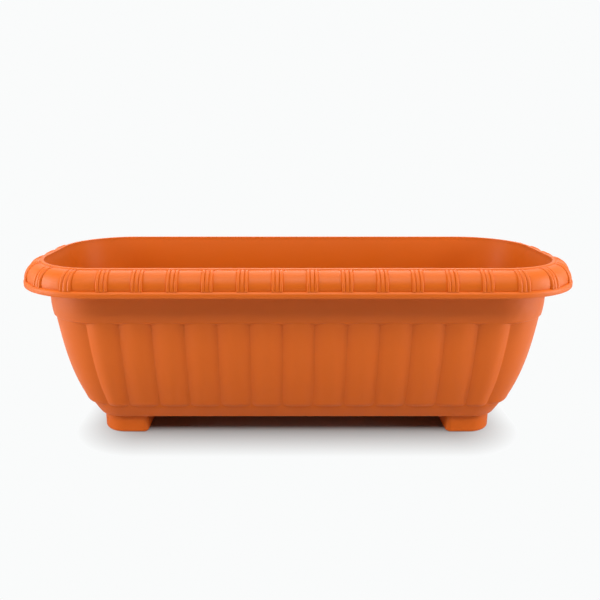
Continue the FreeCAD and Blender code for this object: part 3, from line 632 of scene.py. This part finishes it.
def moulded_surface():
    """Group: colour drift, gloss drift and a fine grain for injection-moulded plastic."""
    tree = bpy.data.node_groups.new("Moulded surface", "ShaderNodeTree")
    face = tree.interface
    for name, kind in (("Colour", "NodeSocketColor"), ("Roughness", "NodeSocketFloat"),
                       ("Drift", "NodeSocketFloat"), ("Grain per metre", "NodeSocketFloat"),
                       ("Grain depth", "NodeSocketFloat")):
        face.new_socket(name, in_out="INPUT", socket_type=kind)
    for name, kind in (("Colour", "NodeSocketColor"), ("Roughness", "NodeSocketFloat"),
                       ("Normal", "NodeSocketVector")):
        face.new_socket(name, in_out="OUTPUT", socket_type=kind)
    given = node(tree, "NodeGroupInput")
    result = node(tree, "NodeGroupOutput")
    where = node(tree, "ShaderNodeTexCoord")

    # broad flow marks of the melt, drawn out along the box
    stretch = node(tree, "ShaderNodeMapping")
    stretch.inputs["Scale"].default_value = (0.45, 1.0, 1.6)
    flow = node(tree, "ShaderNodeTexNoise", i_Scale=9.0, i_Detail=3.0, i_Roughness=0.55)
    centred = node(tree, "ShaderNodeMath", operation="SUBTRACT")
    centred.inputs[1].default_value = 0.5
    drift = node(tree, "ShaderNodeMath", operation="MULTIPLY")
    value = node(tree, "ShaderNodeMath", operation="ADD")
    value.inputs[1].default_value = 1.0
    tint = node(tree, "ShaderNodeHueSaturation")
    link(tree,
         (where.outputs["Object"], stretch.inputs["Vector"]),
         (stretch.outputs["Vector"], flow.inputs["Vector"]),
         (flow.outputs["Fac"], centred.inputs[0]),
         (centred.outputs[0], drift.inputs[0]),
         (given.outputs["Drift"], drift.inputs[1]),
         (drift.outputs[0], value.inputs[0]),
         (value.outputs[0], tint.inputs["Value"]),
         (given.outputs["Colour"], tint.inputs["Color"]),
         (tint.outputs["Color"], result.inputs["Colour"]))

    # handling haze: patches a little duller or shinier
    haze = node(tree, "ShaderNodeTexNoise", i_Scale=38.0, i_Detail=4.0, i_Roughness=0.6)
    spread = node(tree, "ShaderNodeMapRange")
    spread.inputs["From Min"].default_value = 0.3
    spread.inputs["From Max"].default_value = 0.7
    spread.inputs["To Min"].default_value = 0.93
    spread.inputs["To Max"].default_value = 1.08
    dull = node(tree, "ShaderNodeMath", operation="MULTIPLY")
    link(tree,
         (where.outputs["Object"], haze.inputs["Vector"]),
         (haze.outputs["Fac"], spread.inputs["Value"]),
         (spread.outputs["Result"], dull.inputs[0]),
         (given.outputs["Roughness"], dull.inputs[1]),
         (dull.outputs[0], result.inputs["Roughness"]))

    # spark-eroded grain of the mould
    grain = node(tree, "ShaderNodeTexNoise", i_Detail=2.0, i_Roughness=0.5)
    bump = node(tree, "ShaderNodeBump", i_Strength=1.0)
    link(tree,
         (where.outputs["Object"], grain.inputs["Vector"]),
         (given.outputs["Grain per metre"], grain.inputs["Scale"]),
         (grain.outputs["Fac"], bump.inputs["Height"]),
         (given.outputs["Grain depth"], bump.inputs["Distance"]),
         (bump.outputs["Normal"], result.inputs["Normal"]))
    return tree


MOULDED = moulded_surface()


def plastic(name, colour, roughness, drift, grain, depth, specular):
    """Moulded plastic in one colour."""
    material = bpy.data.materials.new(name)
    material.use_nodes = True
    material.diffuse_color = (*colour, 1)
    tree = material.node_tree
    shader = tree.nodes["Principled BSDF"]
    shader.inputs["IOR"].default_value = 1.49
    shader.inputs["Specular IOR Level"].default_value = specular
    surface = node(tree, "ShaderNodeGroup", node_tree=MOULDED)
    surface.inputs["Colour"].default_value = (*colour, 1)
    surface.inputs["Roughness"].default_value = roughness
    surface.inputs["Drift"].default_value = drift
    surface.inputs["Grain per metre"].default_value = grain
    surface.inputs["Grain depth"].default_value = depth
    link(tree,
         (surface.outputs["Colour"], shader.inputs["Base Color"]),
         (surface.outputs["Roughness"], shader.inputs["Roughness"]),
         (surface.outputs["Normal"], shader.inputs["Normal"]))
    return material


TERRACOTTA = plastic(
    "terracotta_moulded", (0.64, 0.116, 0.002), 0.48, 0.07, 1500, 0.000018, 0.3)
FOOT_ORANGE = plastic(
    "terracotta_foot", (0.62, 0.112, 0.003), 0.5, 0.06, 1500, 0.000018, 0.25)
PLUG_ORANGE = plastic(
    "terracotta_plug", (0.58, 0.108, 0.004), 0.55, 0.06, 1300, 0.000015, 0.25)
GRID_BLACK = plastic(
    "grid_black_moulded", (0.045, 0.042, 0.038), 0.55, 0.25, 1100, 0.00003, 0.5)

# ------------------------------------------------------------------- pieces

moulding = make_trough()
moulding.data.materials.append(TERRACOTTA)
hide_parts("trough")
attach(moulding, "planter")

FINISHES = {"foot": FOOT_ORANGE, "drain_plug": PLUG_ORANGE, "drain_grid": GRID_BLACK}
for name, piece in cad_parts.items():
    for start, finish in FINISHES.items():
        if name.startswith(start):
            for place in piece.material_slots:
                place.link = "OBJECT"
                place.material = finish

# -------------------------------------------------------------------- stage

BACKDROP_WHITE = (0.955, 0.965, 0.965, 1)
GLOW_START = (BASE_HALF_LENGTH - 0.055, BASE_HALF_WIDTH - 0.03, 0)

floor_mesh = bpy.data.meshes.new("floor")
FLOOR_HALF = 30.0
floor_mesh.from_pydata(
    [(-FLOOR_HALF, -FLOOR_HALF, 0), (FLOOR_HALF, -FLOOR_HALF, 0),
     (FLOOR_HALF, FLOOR_HALF, 0), (-FLOOR_HALF, FLOOR_HALF, 0)], [], [(0, 1, 2, 3)])
floor = bpy.data.objects.new("floor", floor_mesh)
bpy.context.collection.objects.link(floor)

# painted shade: the camera sees a darker floor colour by the object, which deepens its
# shadow there, going over to the backdrop's white; every other ray meets one plain pale floor
paper = bpy.data.materials.new("studio_floor")
paper.use_nodes = True
tree = paper.node_tree
tree.nodes.remove(tree.nodes["Principled BSDF"])
# painted shade: darker floor colour that only the camera sees, beside the object
painted_shade_matte = node(tree, "ShaderNodeBsdfDiffuse")
painted_shade_matte.inputs["Color"].default_value = (0.28, 0.28, 0.275, 1)
bounce = node(tree, "ShaderNodeBsdfDiffuse")
bounce.inputs["Color"].default_value = (0.65, 0.65, 0.645, 1)
glow = node(tree, "ShaderNodeEmission", i_Strength=1.0)
glow.inputs["Color"].default_value = BACKDROP_WHITE
path = node(tree, "ShaderNodeLightPath")
where = node(tree, "ShaderNodeNewGeometry")
either_side = node(tree, "ShaderNodeVectorMath", operation="ABSOLUTE")
past = node(tree, "ShaderNodeVectorMath", operation="SUBTRACT")
past.inputs[1].default_value = GLOW_START
beyond = node(tree, "ShaderNodeVectorMath", operation="MAXIMUM")
beyond.inputs[1].default_value = (0, 0, 0)
far = node(tree, "ShaderNodeVectorMath", operation="LENGTH")
fade = node(tree, "ShaderNodeMapRange")
fade.inputs["From Min"].default_value = 0.01
fade.inputs["From Max"].default_value = 0.082
seen = node(tree, "ShaderNodeMath", operation="MULTIPLY")
surface = node(tree, "ShaderNodeMixShader")
mix = node(tree, "ShaderNodeMixShader")
link(tree,
     (path.outputs["Is Camera Ray"], surface.inputs["Fac"]),
     (bounce.outputs[0], surface.inputs[1]),
     (painted_shade_matte.outputs[0], surface.inputs[2]),
     (where.outputs["Position"], either_side.inputs[0]),
     (either_side.outputs[0], past.inputs[0]),
     (past.outputs[0], beyond.inputs[0]),
     (beyond.outputs[0], far.inputs[0]),
     (far.outputs["Value"], fade.inputs["Value"]),
     (fade.outputs["Result"], seen.inputs[0]),
     (path.outputs["Is Camera Ray"], seen.inputs[1]),
     (seen.outputs[0], mix.inputs["Fac"]),
     (surface.outputs[0], mix.inputs[1]),
     (glow.outputs[0], mix.inputs[2]),
     (mix.outputs[0], tree.nodes["Material Output"].inputs["Surface"]))
floor_mesh.materials.append(paper)

# white to the camera and through clear parts, and in reflections from behind and above
world = bpy.data.worlds.new("studio")
bpy.context.scene.world = world
world.use_nodes = True
tree = world.node_tree
around = tree.nodes["Background"]
around.inputs["Color"].default_value = (1, 1, 1, 1)
around.inputs["Strength"].default_value = 0.02
backdrop = node(tree, "ShaderNodeBackground", i_Strength=1.0)
backdrop.inputs["Color"].default_value = BACKDROP_WHITE
path = node(tree, "ShaderNodeLightPath")
direction = node(tree, "ShaderNodeTexCoord")
behind_and_above = node(tree, "ShaderNodeVectorMath", operation="DOT_PRODUCT")
behind_and_above.inputs[1].default_value = (0, 0.7, 0.7)
sweep = node(tree, "ShaderNodeMapRange", interpolation_type="SMOOTHSTEP")
sweep.inputs["From Min"].default_value = 0.0
sweep.inputs["From Max"].default_value = 0.45
mirrored = node(tree, "ShaderNodeMath", operation="MULTIPLY")
through = node(tree, "ShaderNodeMath", operation="MAXIMUM")
shown = node(tree, "ShaderNodeMath", operation="MAXIMUM")
mix = node(tree, "ShaderNodeMixShader")
link(tree,
     (direction.outputs["Generated"], behind_and_above.inputs[0]),
     (behind_and_above.outputs["Value"], sweep.inputs["Value"]),
     (sweep.outputs["Result"], mirrored.inputs[0]),
     (path.outputs["Is Glossy Ray"], mirrored.inputs[1]),
     (path.outputs["Is Camera Ray"], through.inputs[0]),
     (path.outputs["Is Transmission Ray"], through.inputs[1]),
     (mirrored.outputs[0], shown.inputs[0]),
     (through.outputs[0], shown.inputs[1]),
     (shown.outputs[0], mix.inputs["Fac"]),
     (around.outputs[0], mix.inputs[1]),
     (backdrop.outputs[0], mix.inputs[2]),
     (mix.outputs[0], tree.nodes["World Output"].inputs["Surface"]))


def softbox(name, place, target, width, height, watts):
    """Rectangular area lamp that faces a point."""
    lamp = bpy.data.lights.new(name, "AREA")
    lamp.shape = "RECTANGLE"
    lamp.size, lamp.size_y = width, height
    lamp.energy = watts
    holder = bpy.data.objects.new(name, lamp)
    holder.location = place
    holder.rotation_mode = "QUATERNION"
    holder.rotation_quaternion = (Vector(target) - Vector(place)).to_track_quat("-Z", "Y")
    bpy.context.collection.objects.link(holder)


softbox("overhead", (0, 0.1, 1.7), (0, 0, 0.1), 1.8, 1.2, 14)
softbox("high_back", (0, 1.1, 1.4), (0, 0, 0.12), 1.8, 1.0, 17)
softbox("high_front", (0, -1.05, 1.43), (0, 0, 0.1), 1.8, 0.6, 22.5)
softbox("left_side", (-0.95, -0.2, 0.3), (0, 0, 0.1), 0.4, 0.5, 5.2)
softbox("right_side", (0.95, -0.2, 0.3), (0, 0, 0.1), 0.4, 0.5, 5.2)

# ------------------------------------------------------------------- camera

PICTURE_SIZE = 600
FOCAL_PIXELS = 637.83
SHIFT_PIXELS = 14.25
SENSOR_WIDTH = 36
CAMERA_PLACE = (-0.013155, -0.72834, 0.33460)
CAMERA_TILT = 0.2559

view = bpy.data.cameras.new("camera")
view.sensor_width = SENSOR_WIDTH
view.lens = FOCAL_PIXELS / PICTURE_SIZE * SENSOR_WIDTH
view.shift_x = SHIFT_PIXELS / PICTURE_SIZE
view.clip_start, view.clip_end = 0.01, 200
camera = bpy.data.objects.new("camera", view)
camera.location = CAMERA_PLACE
camera.rotation_euler = (QUARTER - CAMERA_TILT, 0, 0)
bpy.context.collection.objects.link(camera)
bpy.context.scene.camera = camera
bpy.context.scene.view_settings.view_transform = "Standard"
